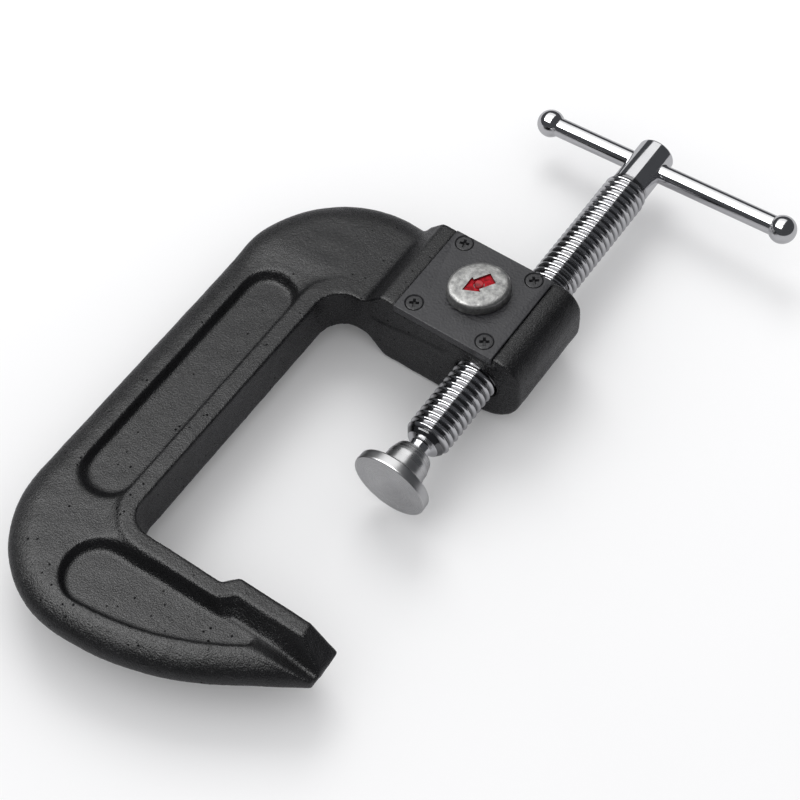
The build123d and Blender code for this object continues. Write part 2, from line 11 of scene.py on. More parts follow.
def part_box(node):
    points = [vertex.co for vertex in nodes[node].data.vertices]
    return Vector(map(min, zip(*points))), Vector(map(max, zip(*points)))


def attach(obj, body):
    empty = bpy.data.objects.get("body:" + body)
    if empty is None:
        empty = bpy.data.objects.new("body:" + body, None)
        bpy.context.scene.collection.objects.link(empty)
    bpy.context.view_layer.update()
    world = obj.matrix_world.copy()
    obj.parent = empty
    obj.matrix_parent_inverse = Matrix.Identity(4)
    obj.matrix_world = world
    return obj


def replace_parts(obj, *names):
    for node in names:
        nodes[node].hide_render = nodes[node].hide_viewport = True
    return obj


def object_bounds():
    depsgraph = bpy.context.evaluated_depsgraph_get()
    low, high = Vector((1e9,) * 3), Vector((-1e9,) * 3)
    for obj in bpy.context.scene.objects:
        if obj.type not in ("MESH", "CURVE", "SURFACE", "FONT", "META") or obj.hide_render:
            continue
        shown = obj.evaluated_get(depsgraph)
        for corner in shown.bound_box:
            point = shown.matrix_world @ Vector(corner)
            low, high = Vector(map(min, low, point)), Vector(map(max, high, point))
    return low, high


MM = 0.001

# Camera: the angle the clamp is seen from
CAMERA_AZIMUTH = 38.34
CAMERA_ELEVATION = 57.42
CAMERA_ROLL = -3.61
CAMERA_PLACE = (0.21944, -0.20080, 0.60133)
CAMERA_LENS = 81.75
CAMERA_SENSOR = 36.0
CAMERA_CLIP = 0.01

# Floor and light, in metres and watts; a screen has a place, a size and a radiance
FLOOR_SIZE = 12.0
FLOOR_NOISE = 4.0
FLOOR_TONES = [(0.3, 0.9), (0.7, 0.92)]
FLOOR_ROUGHNESS = 0.9
FLOOR_SPECULAR = 0.1
# Painted shade: the floor's tone where polished surfaces mirror it, darker than its lit tone
MIRRORED_FLOOR_TONE = (0.46, 0.46, 0.47)
FLOOR_GAP = 0.0004
SURROUND_TONE = (0.88, 0.88, 0.89)
ROOM_TONE = (0.06, 0.062, 0.067)
KEY_PLACE = (-0.75, 0.95, 1.2)
KEY_TARGET = (-0.03, 0.08, 0)
KEY_SIZE = (1.0, 0.8)
KEY_POWER = 9
SCREENS = (
    ("front_screen", (-0.65, -0.24, 1.0), (1.5, 0.6), 5.0),
    ("middle_screen", (-0.65, 0.42, 1.0), (1.5, 0.72), 1.3),
    ("back_screen", (-0.65, 1.15, 1.0), (1.5, 0.74), 0.9),
)

# Materials: noise scales per metre, ramps as (position, value) stops, soft steps as
# (start, end), bumps as (strength, depth in metres)
SPECULAR = 0.5
PAINT_GRIT = 1600.0
PAINT_PEEL = 400.0
PAINT_WEAR = 60.0
PAINT_PITS = 230.0
PAINT_TONES = [(0.3, (0.005, 0.005, 0.0055)), (0.7, (0.008, 0.008, 0.009))]
PAINT_ROUGHNESS = [(0.35, 0.22), (0.65, 0.32)]
PIT_RIMS = [(0.05, 0.0), (0.13, 1.0)]
PIT_PATCHES = (0.5, 0.56)
PIT_SHEEN = (-0.1, 1.9)
NO_PIT = (1.0, 1.0, 1.0)
PIT_BUMP = (0.5, 0.0005)
PEEL_BUMP = (0.15, 0.0006)
GRIT_BUMP = (0.8, 0.00034)
SATIN_GRAIN = 1000.0
SATIN_BLOTCH = 90.0
SATIN_BUMP = (0.7, 0.0004)
PLATE_TONES = [(0.3, (0.026, 0.026, 0.029)), (0.7, (0.036, 0.036, 0.039))]
PLATE_ROUGHNESS = [(0.35, 0.3), (0.65, 0.4)]
SCREW_TONES = [(0.3, (0.02, 0.02, 0.022)), (0.7, (0.03, 0.03, 0.032))]
SCREW_ROUGHNESS = [(0.35, 0.26), (0.65, 0.36)]
CHROME_HAZE = 140.0
CHROME_MARKS = 1800.0
CHROME_BUMP = (0.06, 0.00005)
CHROME_TONES = [(0.3, (0.84, 0.84, 0.8484)), (0.7, (0.7812, 0.7812, 0.798))]
CHROME_ROUGHNESS = [(0.3, 0.06), (0.75, 0.13)]
THREAD_TONES = [(0.3, (0.84, 0.84, 0.85)), (0.7, (0.78, 0.78, 0.8))]
THREAD_ROUGHNESS = [(0.3, 0.1), (0.75, 0.17)]
# Painted shade in the thread roots: the plating darkens toward this tone inside these radii from
# the screw axis
ROOT_SHADE_TONE = (0.2, 0.2, 0.205)
ROOT_SHADE_R = (0.0081, 0.0091)
TURNING_RINGS = 3200.0
TURNED_HAZE = 120.0
TURNED_TONES = [(0.3, (0.72, 0.72, 0.72)), (0.7, (0.62, 0.62, 0.625))]
TURNED_ROUGHNESS = [(0.3, 0.22), (0.7, 0.34)]
TURNED_BUMP = (0.12, 0.00006)
ZINC_MOTTLE = 420.0
ZINC_GRIT = 1700.0
ZINC_TONES = [(0.35, (0.27, 0.27, 0.27)), (0.5, (0.4, 0.4, 0.39)), (0.65, (0.54, 0.54, 0.53))]
ZINC_ROUGHNESS = [(0.35, 0.52), (0.65, 0.36)]
ZINC_MOTTLE_BUMP = (0.5, 0.0004)
ZINC_GRIT_BUMP = (0.4, 0.0002)
RED_BLOTCH = 600.0
RED_SPECULAR = 0.12
RED_TONES = [(0.35, (0.2, 0.001, 0.005)), (0.65, (0.5, 0.003, 0.014))]
RED_ROUGHNESS = [(0.3, 0.3), (0.7, 0.45)]
RED_BUMP = (0.5, 0.0005)
STUD_STEEL = (0.42, 0.42, 0.43)
STUD_PAINT_Z = (0.0238, 0.0242)
STUD_TONES = [(0.35, (0.16, 0.001, 0.004)), (0.65, (0.42, 0.003, 0.012))]
STUD_ROUGHNESS = [(0.3, 0.22), (0.7, 0.35)]
STUD_BUMP = (0.4, 0.0004)
STEEL_GRAIN = 700.0
STEEL_TONES = [(0.3, (0.36, 0.36, 0.37)), (0.7, (0.48, 0.48, 0.48))]
STEEL_ROUGHNESS = [(0.3, 0.28), (0.7, 0.42)]
STEEL_BUMP = (0.2, 0.0001)

# Merging of mesh points, in metres
FINE_WELD = 1e-7
WELD = 1e-6
THREAD_WELD = 2e-6

# Least length in millimetres that counts as more than nothing
TINY = 1e-6

# Rounded edges: width in millimetres, segments and least angle in degrees
HEAD_EDGE = (0.35, 3, 50)
KNOB_EDGE = (0.12, 2, 50)
PAINT_EDGE = (0.1, 2, 50)
PLATE_EDGE = (0.35, 2, 50)
HOLE_EDGE = (0.12, 2, 40)
CROSS_EDGE = (0.08, 2, 45)
PLATE_SHARP = 20

# Outline of the frame casting, in millimetres and degrees
THROAT = 68.7
JAW_STEP = 5.2
JAW_LEFT = -18.4
JAW_STEP_RUN = 5.0
LOWER_INNER_RADIUS = 9.5
UPPER_INNER_RADIUS = 11.0
BOSS_FRONT = 124.8
BOSS_STEP_X = -45.0
BOSS_REAR = 170.0
ARM_START = (-54.0, 171.7)
ARM_CENTRE = (-63.5, 121.0)
ARM_RADIUS = 51.3
LOWER_CENTRE = (-66.8, -4.5)
LOWER_RADIUS = 48.0
BELLY_RADIUS = 120.0
BELLY_TURN = 32.0
NOSE_X = 25.2
NOSE_OVERRUN = 4.0

# Broad faces of the casting, in millimetres: heights from the middle plane, widths, places
BODY_HALF = 11.0
RIM_WIDTH = 6.1
RIM_WIDTH_SPINE = 7.6
RIM_WIDENS_Y = (-7, 6)
WEB_DROP = 2.3
WEB_RUN = 2.7
ARM_RISE_Y = (112, 134)
CROWN_RUN = 14.0
CROWN_DROP = 8.7
CROWN_LIFT = 0.1
CROWN_FILLET = 0.5
POCKET_FLOOR = 4.9
WALL_POWER = 1.25
STRIP_BLEND = 1.5
SPINE_FLOOR_X = (-98.7, -79.4)
SPINE_FLOOR_Y = (2.0, 115.4)
SPINE_RIM_X = (-101.6, -76.5)
SPINE_RIM_Y = (-4.0, 120.2)
SPINE_POCKET_ROUND = 0.46
ARM_POCKET_HEEL = ((-65.0, -28.6), 11.2)
ARM_POCKET_TIP = ((-3.5, -17.2), 1.8)
HEEL_SWEEP = (94, 263)
TIP_SWEEP = (-40, 94)
ARM_POCKET_BULGE = 4.8
ARM_POCKET_SLOPE = 3.4
ARM_POCKET_SHIFT = 1.6
JAW_SLOPE_RUN = 6.6
JAW_FALL_POWER = 1.15
JAW_RISE_RUN = (1, 2.2)
JAW_RISE = 0.62
JAW_SLOPE_X = (-25, -20)
JAW_SLOPE_Y = (30, 50)
NOSE_FALL = 4.2
NOSE_FALL_START = 2
NOSE_BEVEL_X = 13.6
NOSE_BEVEL_SLANT = 0.153
NOSE_BEVEL_FILLET = 0.3
LEAST_HEIGHT = 0.15
BOSS_BLEND_X = (-57, -51)
BOSS_BLEND_Y = (105, 118)

# Bands at the outline, the middle plane and the nose where the faces are only lowered
EDGE_KEPT = 0.45
MIDDLE_KEPT = 1.0
NOSE_KEPT = 0.6

# Crease along the front of the boss, and the skin of the casting
CREASE_X = (-55.0, -50.7, -45.8, -30.9, -16.4, -11.5)
CREASE_Z = (11.2, 2.9, 2.6, 5.5, 7.5, 10.0)
CREASE_STEP = 0.55
CREASE_BLEND = (-0.4, 0.5)
CREASE_START = (-58, -52)
CREASE_END = (-14, -8)
FRONT_FACING = -0.8
FRONT_REACH = 0.6
CAST_VOXEL = 0.7
SOFTENING = 0.5
GRAIN_SEED = 7
GRAIN = ((11.0, 0.04, 24), (4.0, 0.014, 30), (2.0, 0.014, 36))
BORE_R = 9.6
BORE_REACH = 0.5
BORE_LEAD = 1.0
BORE_GAP = 0.2

# Screw, in millimetres; the fullness is the power of the thread's rounding
THREAD_PITCH = 3.175
THREAD_ROWS = 14
THREAD_SEGMENTS = 84
THREAD_PHASE = 0.2
THREAD_FULLNESS = 1.6
THREAD_FULL_START = 92.4
THREAD_FADE = (237.5, 241.2)
THREAD_TUCK = 0.5
THREAD_OVERRUN = 1
THREAD_SPARE_TURNS = 2
CREST_R = 9.525
ROOT_R = 7.95
SHOULDER_Y = 88.9
SHOULDER_R = 7.0
HEAD_R = 8.27
HEAD_START = 240.6
HEAD_END = 264.0
HEAD_ROUND = 1.0
BALL_R = 5.9
BALL_Y = 75.5
BALL_SWEEP = 143.6
NECK_PROFILE = (
    (3.5, 80.25, 0),
    (3.5, 83.7, 0.3),
    (4.6, 84.8, 0.3),
    (4.6, 87.4, 0.8),
    (7.02, 88.9, 0.3),
    (7.02, 90.0, 0),
    (0, 90.0, 0),
)

# Swivel pad, in millimetres
SOCKET_R = 5.98
PAD_SEGMENTS = 128
PAD_PROFILE = (
    (0, 66.2, 0),
    (15.9, 66.2, 0.3),
    (16.1, 66.8, 0.3),
    (15.95, 70.6, 0.7),
    (10.4, 71.6, 1.0),
    (9.2, 73.6, 1.6),
    (8.8, 79.4, 3.0),
    (7.6, 83.4, 1.6),
    (6.2, 84.5, 0.4),
    (5.6, 84.2, 0.2),
    (5.5, 83.3, 0),
    (4.75, 83.1, 0),
    (4.75, 82.1, 0),
    (6.3, 82.1, 0),
    (6.3, 79.5, 0),
    (SOCKET_R, 79.5, 0),
    (SOCKET_R, BALL_Y, 0),
)

# Handle, in millimetres
HANDLE_Y = 255.2
HANDLE_ANGLE = 2.9
BAR_R = 4.22
BAR_GAP = 0.12
BAR_HOLE_HALF = 20
BAR_TUCK = 1.5
BAR_ROUND = 0.3
BALL_END_R = 6.0
BALL_INSET = 0.01
COLLAR_LIP = 0.02
COLLAR_LENGTH = 0.15
LEFT_BALL = -47.9
RIGHT_BALL = 64.9
SMALL_SEGMENTS = 64

# Knob, in millimetres and degrees; a level is a height above the base and an inset
KNOB_PLACE = (-14.3, 149.1)
KNOB_LONG = 13.1
KNOB_SHORT = 11.5
KNOB_BASE_Z = 20.5
KNOB_TOP_Z = 26.0
KNOB_ANGLE = 45.0
KNOB_LEVELS = ((0, 0.5), (0.3, 0.12), (0.9, 0.0), (2.3, 0.12), (3.2, 0.3))
SHOULDER_LEVEL = (3.4, 0.36)
SHOULDER_HEIGHT = 1.7
SHOULDER_SPREAD = 1.2
SHOULDER_STEPS = 10
DOME_GAP = 0.02
DOME_STEPS = 14
DOME_POWER = 3
ARROW_DIRECTION = 238.0
ARROW_TIP = 7.2
ARROW_BACK = 1.2
ARROW_TAIL = 6.0
ARROW_HEAD_HALF = 3.9
ARROW_SHAFT_HALF = 2.5
ARROW_FLOOR_Z = 24.5
ARROW_PAINT_Z = 25.0
SINK_TOP_Z = 27.0
ARROW_SUNK_GROW = 0.1
ARROW_PAINT_GROW = 0.05
STUD_HOLE_R = 2.15
STUD_HOLE_Z = (20, 30)

# Cover plate and its screws, in millimetres and degrees
PLATE_X = (-38.7, 7.4)
PLATE_Y = (124.95, 169.8)
PLATE_BOTTOM = 16.2
BOSS_TOP = 20.2
SHAFT_HOLE_R = 4.2
SHAFT_HOLE_Z = (15, 21)
SCREW_X = (-32.6, 0.6)
SCREW_Y = (130.7, 165.9)
COUNTERSINK = ((0, 15), (2.2, 15), (2.2, 18.2), (3.95, 19.9), (3.95, 21), (0, 21))
SCREW_PROFILE = (
    (0, 11.2, 0),
    (2.0, 11.2, 0.3),
    (2.0, 18.1, 0.2),
    (3.5, 19.6, 0.05),
    (3.5, 20.05, 0.4),
    (0, 20.1, 0),
)
SCREW_TURNS = (28.0, 33.0, 20.0, 38.0)
# Cross recess: height, half length and half width at its floor and above its mouth
CROSS_LEVELS = ((18.6, 1.3, 0.4), (BOSS_TOP + 0.5, 2.3, 0.72))


# ---------------------------------------------------------------- materials


def new_material(name, **settings):
    """Node material whose principled sockets are set by name."""
    mat = bpy.data.materials.new(name)
    mat.use_nodes = True
    tree = mat.node_tree
    shader = tree.nodes["Principled BSDF"]
    for key, value in settings.items():
        shader.inputs[key.replace("_", " ")].default_value = value
    return mat, tree, shader


def add(tree, kind, **values):
    """Adds a node and sets its sockets by name."""
    node = tree.nodes.new(kind)
    for key, value in values.items():
        node.inputs[key.replace("_", " ")].default_value = value
    return node


def coords(tree):
    """Object coordinates."""
    return tree.nodes.new("ShaderNodeTexCoord").outputs["Object"]


def noise(tree, place, scale, detail=3.0, roughness=0.5):
    """Noise in the given coordinates."""
    node = add(tree, "ShaderNodeTexNoise", Scale=scale, Detail=detail, Roughness=roughness)
    tree.links.new(place, node.inputs["Vector"])
    return node.outputs["Fac"]


def cells(tree, place, scale):
    """Distance to the nearest cell centre."""
    node = add(tree, "ShaderNodeTexVoronoi", Scale=scale)
    tree.links.new(place, node.inputs["Vector"])
    return node.outputs["Distance"]


def ramp(tree, factor, stops):
    """Colour ramp through (position, grey or colour) stops."""
    node = tree.nodes.new("ShaderNodeValToRGB")
    elements = node.color_ramp.elements
    while len(elements) < len(stops):
        elements.new(0.5)
    for element, (position, tone) in zip(elements, stops):
        element.position = position
        element.color = (tone, tone, tone, 1) if isinstance(tone, float) else (*tone, 1)
    tree.links.new(factor, node.inputs["Fac"])
    return node.outputs["Color"]


def mix(tree, factor, one, two):
    """Mixes two colours, each a constant or another node's output."""
    node = tree.nodes.new("ShaderNodeMix")
    node.data_type = "RGBA"
    tree.links.new(factor, node.inputs["Factor"])
    for socket, value in ((node.inputs[6], one), (node.inputs[7], two)):
        if isinstance(value, tuple):
            socket.default_value = (*value, 1)
        else:
            tree.links.new(value, socket)
    return node.outputs[2]


def edge(tree, value, limits):
    """Soft step of a number from 0 at the first limit to 1 at the second."""
    start, end = limits
    node = tree.nodes.new("ShaderNodeMapRange")
    node.interpolation_type = "SMOOTHSTEP"
    node.inputs["From Min"].default_value = start
    node.inputs["From Max"].default_value = end
    tree.links.new(value, node.inputs["Value"])
    return node.outputs["Result"]


def bump(tree, height, relief, normal=None):
    """Bump from a height, on top of another normal if one is given."""
    strength, depth = relief
    node = add(tree, "ShaderNodeBump", Strength=strength, Distance=depth)
    tree.links.new(height, node.inputs["Height"])
    if normal is not None:
        tree.links.new(normal, node.inputs["Normal"])
    return node.outputs["Normal"]


def drive(tree, shader, **outputs):
    """Links outputs to the shader's sockets by name."""
    for key, output in outputs.items():
        tree.links.new(output, shader.inputs[key.replace("_", " ")])


def cast_black():
    """Black paint over a sand casting: orange peel, fine grit and a few pits."""
    mat, tree, shader = new_material("cast_black")
    place = coords(tree)
    grit = noise(tree, place, PAINT_GRIT, roughness=0.6)
    peel = noise(tree, place, PAINT_PEEL, detail=2.0)
    worn = noise(tree, place, PAINT_WEAR)
    pits = ramp(tree, cells(tree, place, PAINT_PITS), PIT_RIMS)
    pits = mix(tree, edge(tree, worn, PIT_PATCHES), pits, NO_PIT)
    normal = bump(tree, pits, PIT_BUMP)
    normal = bump(tree, peel, PEEL_BUMP, normal)
    drive(
        tree,
        shader,
        Base_Color=ramp(tree, worn, PAINT_TONES),
        Roughness=ramp(tree, grit, PAINT_ROUGHNESS),
        Specular_IOR_Level=edge(tree, pits, PIT_SHEEN),
        Normal=bump(tree, grit, GRIT_BUMP, normal),
    )
    return mat


def smooth_black(name, tones, roughness):
    """Satin black paint or oxide on a machined piece."""
    mat, tree, shader = new_material(name, Specular_IOR_Level=SPECULAR)
    place = coords(tree)
    grain = noise(tree, place, SATIN_GRAIN, detail=2.0)
    blotch = noise(tree, place, SATIN_BLOTCH, detail=2.0)
    drive(
        tree,
        shader,
        Base_Color=ramp(tree, blotch, tones),
        Roughness=ramp(tree, grain, roughness),
        Normal=bump(tree, grain, SATIN_BUMP),
    )
    return mat


def axis_distance(tree, place):
    """Distance from the screw axis."""
    parts = tree.nodes.new("ShaderNodeSeparateXYZ")
    tree.links.new(place, parts.inputs[0])
    flat = tree.nodes.new("ShaderNodeCombineXYZ")
    tree.links.new(parts.outputs["X"], flat.inputs["X"])
    tree.links.new(parts.outputs["Z"], flat.inputs["Y"])
    radius = tree.nodes.new("ShaderNodeVectorMath")
    radius.operation = "LENGTH"
    tree.links.new(flat.outputs[0], radius.inputs[0])
    return radius.outputs["Value"]


def chrome(name, tones, roughness, shaded_roots=False):
    """Bright plating with slight haze and handling marks; where asked, painted shade darkens it
    near the axis, in the thread roots.
    """
    mat, tree, shader = new_material(name, Metallic=1.0)
    place = coords(tree)
    haze = noise(tree, place, CHROME_HAZE)
    marks = noise(tree, place, CHROME_MARKS, detail=2.0)
    tone = ramp(tree, haze, tones)
    if shaded_roots:
        # Painted shade: darker toward the thread roots, near the axis
        tone = mix(tree, edge(tree, axis_distance(tree, place), ROOT_SHADE_R), ROOT_SHADE_TONE, tone)
    drive(
        tree,
        shader,
        Base_Color=tone,
        Roughness=ramp(tree, haze, roughness),
        Normal=bump(tree, marks, CHROME_BUMP),
    )
    return mat


def turned_plating():
    """Satin plating with turning rings about the screw axis."""
    mat, tree, shader = new_material("turned_plating", Metallic=1.0)
    place = coords(tree)
    rings = add(tree, "ShaderNodeTexNoise", Scale=TURNING_RINGS, Detail=2.0)
    rings.noise_dimensions = "1D"
    tree.links.new(axis_distance(tree, place), rings.inputs["W"])
    drive(
        tree,
        shader,
        Base_Color=ramp(tree, noise(tree, place, TURNED_HAZE), TURNED_TONES),
        Roughness=ramp(tree, rings.outputs["Fac"], TURNED_ROUGHNESS),
        Normal=bump(tree, rings.outputs["Fac"], TURNED_BUMP),
    )
    return mat


def cast_zinc():
    """Matte die-cast zinc with a mottled, slightly burnished skin."""
    mat, tree, shader = new_material("cast_zinc", Metallic=1.0)
    place = coords(tree)
    mottle = noise(tree, place, ZINC_MOTTLE, detail=5.0, roughness=0.65)
    normal = bump(tree, mottle, ZINC_MOTTLE_BUMP)
    drive(
        tree,
        shader,
        Base_Color=ramp(tree, mottle, ZINC_TONES),
        Roughness=ramp(tree, mottle, ZINC_ROUGHNESS),
        Normal=bump(tree, noise(tree, place, ZINC_GRIT), ZINC_GRIT_BUMP, normal),
    )
    return mat


def red_paint():
    """Thick red paint pooled in the sunk arrow."""
    mat, tree, shader = new_material("red_paint", Specular_IOR_Level=RED_SPECULAR)
    blotch = noise(tree, coords(tree), RED_BLOTCH)
    drive(
        tree,
        shader,
        Base_Color=ramp(tree, blotch, RED_TONES),
        Roughness=ramp(tree, blotch, RED_ROUGHNESS),
        Normal=bump(tree, blotch, RED_BUMP),
    )
    return mat


def painted_stud():
    """Machined steel whose upper end carries the red paint of the arrow."""
    mat, tree, shader = new_material("painted_stud", Specular_IOR_Level=SPECULAR)
    place = coords(tree)
    split = tree.nodes.new("ShaderNodeSeparateXYZ")
    tree.links.new(place, split.inputs[0])
    height = split.outputs["Z"]
    blotch = noise(tree, place, RED_BLOTCH)
    paint = ramp(tree, blotch, STUD_TONES)
    drive(
        tree,
        shader,
        Base_Color=mix(tree, edge(tree, height, STUD_PAINT_Z), STUD_STEEL, paint),
        Metallic=edge(tree, height, STUD_PAINT_Z[::-1]),
        Roughness=ramp(tree, blotch, STUD_ROUGHNESS),
        Normal=bump(tree, blotch, STUD_BUMP),
    )
    return mat


def oiled_steel():
    """Plain machined steel of the inner pieces."""
    mat, tree, shader = new_material("oiled_steel", Metallic=1.0)
    grain = noise(tree, coords(tree), STEEL_GRAIN)
    drive(
        tree,
        shader,
        Base_Color=ramp(tree, grain, STEEL_TONES),
        Roughness=ramp(tree, grain, STEEL_ROUGHNESS),
        Normal=bump(tree, grain, STEEL_BUMP),
    )
    return mat


# ---------------------------------------------------------------- mesh helpers


def mesh_piece(name, points, faces, material, body):
    """Mesh piece from points in millimetres, riding on a CAD body."""
    mesh = bpy.data.meshes.new(name)
    mesh.from_pydata((np.asarray(points, float) * MM).tolist(), [], faces)
    mesh.validate()
    obj = bpy.data.objects.new(name, mesh)
    bpy.context.scene.collection.objects.link(obj)
    finish_piece(obj, material, body)
    return obj


def finish_piece(obj, material, body):
    """Gives a piece its material, its body and smooth shading."""
    obj.data.materials.clear()
    obj.data.materials.append(material)
    obj.data.polygons.foreach_set("use_smooth", [True] * len(obj.data.polygons))
    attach(obj, body)


def outward(obj):
    """Turns all faces outward."""
    bm = bmesh.new()
    bm.from_mesh(obj.data)
    bmesh.ops.remove_doubles(bm, verts=bm.verts, dist=FINE_WELD)
    bmesh.ops.recalc_face_normals(bm, faces=bm.faces)
    bm.to_mesh(obj.data)
    bm.free()


def apply_modifiers(obj):
    """Replaces the mesh by its evaluated one."""
    graph = bpy.context.evaluated_depsgraph_get()
    mesh = bpy.data.meshes.new_from_object(obj.evaluated_get(graph))
    obj.modifiers.clear()
    obj.data = mesh


def cut_away(obj, cutter):
    """Cuts one piece by another and removes the cutter."""
    step = obj.modifiers.new("cut", "BOOLEAN")
    step.object = cutter
    step.operation = "DIFFERENCE"
    step.solver = "EXACT"
    apply_modifiers(obj)
    bpy.data.objects.remove(cutter)


def round_edges(obj, width, segments, degrees):
    """Rounds the edges steeper than an angle."""
    step = obj.modifiers.new("rounding", "BEVEL")
    step.width = width * MM
    step.segments = segments
    step.limit_method = "ANGLE"
    step.angle_limit = radians(degrees)
    step.harden_normals = True


def rounded_profile(corners, steps=6):
    """(radius, y) profile from (radius, y, rounding) corners, each rounded by an arc."""
    out = []
    for i, (x, y, r) in enumerate(corners):
        here = np.array((x, y))
        if r == 0 or i in (0, len(corners) - 1):
            out.append((x, y))
            continue
        before = np.array(corners[i - 1][:2]) - here
        after = np.array(corners[i + 1][:2]) - here
        before /= np.linalg.norm(before)
        after /= np.linalg.norm(after)
        turn = acos(max(-1.0, min(1.0, float(before @ after))))
        run = r / np.tan(turn / 2)
        centre = here + (before + after) / np.linalg.norm(before + after) * r / sin(turn / 2)
        start = here + before * run - centre
        end = here + after * run - centre
        for k in range(steps + 1):
            t = k / steps
            spread = pi - turn
            a = sin((1 - t) * spread) / sin(spread)
            b = sin(t * spread) / sin(spread)
            out.append(tuple(centre + a * start + b * end))
    return out


def pin(radius, limits):
    """Profile of a plain cylinder between two heights."""
    low, high = limits
    return [(0, low), (radius, low), (radius, high), (0, high)]


def lathe(name, profile, material, body, segments=96):
    """Solid turned about Y from (radius, y) points that start and end on the axis."""
    points, faces, rings = [], [], []
    for radius, y in profile:
        if radius < TINY:
            rings.append([len(points)])
            points.append((0, y, 0))
            continue
        rings.append(list(range(len(points), len(points) + segments)))
        for k in range(segments):
            a = 2 * pi * k / segments
            points.append((radius * cos(a), y, radius * sin(a)))
    for one, two in zip(rings, rings[1:]):
        for k in range(segments):
            n = (k + 1) % segments
            if len(one) == 1 and len(two) == 1:
                continue
            if len(one) == 1:
                faces.append((one[0], two[n], two[k]))
            elif len(two) == 1:
                faces.append((one[k], one[n], two[0]))
            else:
                faces.append((one[k], one[n], two[n], two[k]))
    obj = mesh_piece(name, points, faces, material, body)
    outward(obj)
    return obj


# ---------------------------------------------------------------- frame casting


def segment_distance(p, a, b):
    """Distance from points to one segment."""
    a = np.array(a)
    b = np.array(b)
    along = np.clip(((p - a) @ (b - a)) / ((b - a) @ (b - a)), 0, 1)
    return np.linalg.norm(p - a - along[:, None] * (b - a), axis=1)


def arc_points(centre, radius, start, end, count=16):
    """Points on an arc between two angles in degrees."""
    angles = np.radians(np.linspace(start, end, count))
    return [(centre[0] + radius * cos(a), centre[1] + radius * sin(a)) for a in angles]


def path_distance(p, path):
    """Distance from points to a path."""
    return np.min([segment_distance(p, a, b) for a, b in zip(path, path[1:])], axis=0)


def outline_distance(p, outline):
    """Signed distance to a closed outline, negative inside."""
    inside = np.zeros(len(p), bool)
    x, y = p[:, 0], p[:, 1]
    for (x0, y0), (x1, y1) in zip(outline, outline[1:] + outline[:1]):
        crosses = (y0 > y) != (y1 > y)
        at = x0 + (y - y0) * (x1 - x0) / (y1 - y0 if y1 != y0 else 1)
        inside ^= crosses & (x < at)
    away = path_distance(p, outline + outline[:1])
    return np.where(inside, -away, away)


def inner_path():
    """Inner edge of the C from the nose round to the boss."""
    low = LOWER_INNER_RADIUS
    high = UPPER_INNER_RADIUS
    path = [(NOSE_X + NOSE_OVERRUN, 0.0), (JAW_LEFT, 0.0), (JAW_LEFT - JAW_STEP_RUN, -JAW_STEP)]
    path += arc_points((-THROAT + low, -JAW_STEP + low), low, 270, 180)
    path += arc_points((-THROAT + high, BOSS_FRONT - high), high, 180, 90)
    path += [(BOSS_STEP_X, BOSS_FRONT)]
    return path


def outer_path():
    """Outer edge of the C from the boss round to the nose."""
    path = [(BOSS_STEP_X, BOSS_REAR), ARM_START]
    path += arc_points(ARM_CENTRE, ARM_RADIUS, 90, 180, count=40)
    path += arc_points(LOWER_CENTRE, LOWER_RADIUS, 180, 270, count=40)
    belly = (LOWER_CENTRE[0], LOWER_CENTRE[1] - LOWER_RADIUS + BELLY_RADIUS)
    path += arc_points(belly, BELLY_RADIUS, 270, 270 + BELLY_TURN, count=20)
    x, y = path[-1]
    end = NOSE_X + NOSE_OVERRUN
    path.append((end, y + (end - x) * np.tan(radians(BELLY_TURN))))
    return path


def spine_pocket(ends, sides):
    """Outline of the long pocket between two x and two y values."""
    (x0, x1), (y0, y1) = sides, ends
    r = (x1 - x0) * SPINE_POCKET_ROUND
    corners = ((x1 - r, y1 - r), (x0 + r, y1 - r), (x0 + r, y0 + r), (x1 - r, y0 + r))
    outline = []
    for quarter, corner in enumerate(corners):
        outline += arc_points(corner, r, 90 * quarter, 90 * quarter + 90, count=9)
    return outline


def arm_pocket(grow, shift):
    """Outline of the leaf-shaped pocket, grown outward and moved along Y."""
    heel, heel_r = ARM_POCKET_HEEL
    tip, tip_r = ARM_POCKET_TIP
    heel = (heel[0], heel[1] + shift)
    tip = (tip[0], tip[1] + shift)
    heel_arc = arc_points(heel, heel_r + grow, *HEEL_SWEEP, count=18)
    tip_arc = arc_points(tip, tip_r + grow, *TIP_SWEEP, count=9)
    start, end = np.array(heel_arc[-1]), np.array(tip_arc[0])
    chord = end - start
    across = np.array((chord[1], -chord[0])) / np.linalg.norm(chord)
    belly = [
        tuple(start + chord * t + across * ARM_POCKET_BULGE * (1 - (2 * t - 1) ** 2))
        for t in np.linspace(0, 1, 14)[1:-1]
    ]
    return heel_arc + belly + tip_arc


def smooth_min(a, b, k):
    """Minimum of two heights with a fillet of about k."""
    h = np.clip(0.5 + 0.5 * (b - a) / k, 0, 1)
    return b * (1 - h) + a * h - k * h * (1 - h)


def smooth_step(a, b, x):
    """Smooth rise from 0 at a to 1 at b."""
    t = np.clip((x - a) / (b - a), 0, 1)
    return t * t * (3 - 2 * t)


def wall(floor_away, rim_inside, past_strip):
    """Rise from 0 on a pocket's floor to 1 on its rim: rounded at the web, crisp at the strip."""
    low = np.maximum(floor_away, 0)
    high = np.maximum(np.minimum(rim_inside, past_strip), 0)
    share = low / np.maximum(low + high, TINY)
    soft = smooth_step(0, 1, share)
    by_strip = smooth_step(STRIP_BLEND, -STRIP_BLEND, past_strip - rim_inside)
    return np.where(floor_away <= 0, 0, soft + (share**WALL_POWER - soft) * by_strip)


def jaw_fall(x, past_strip):
    """Foot and share of the slope beside the jaw strip, steep at the strip and rising again."""
    run = np.maximum(past_strip / JAW_SLOPE_RUN, 0)
    down = 1 - np.maximum(1 - run, 0) ** JAW_FALL_POWER
    back = smooth_step(*JAW_RISE_RUN, run) * JAW_RISE
    foot = POCKET_FLOOR - NOSE_FALL * smooth_step(NOSE_FALL_START, NOSE_X, x)
    return foot, down - back


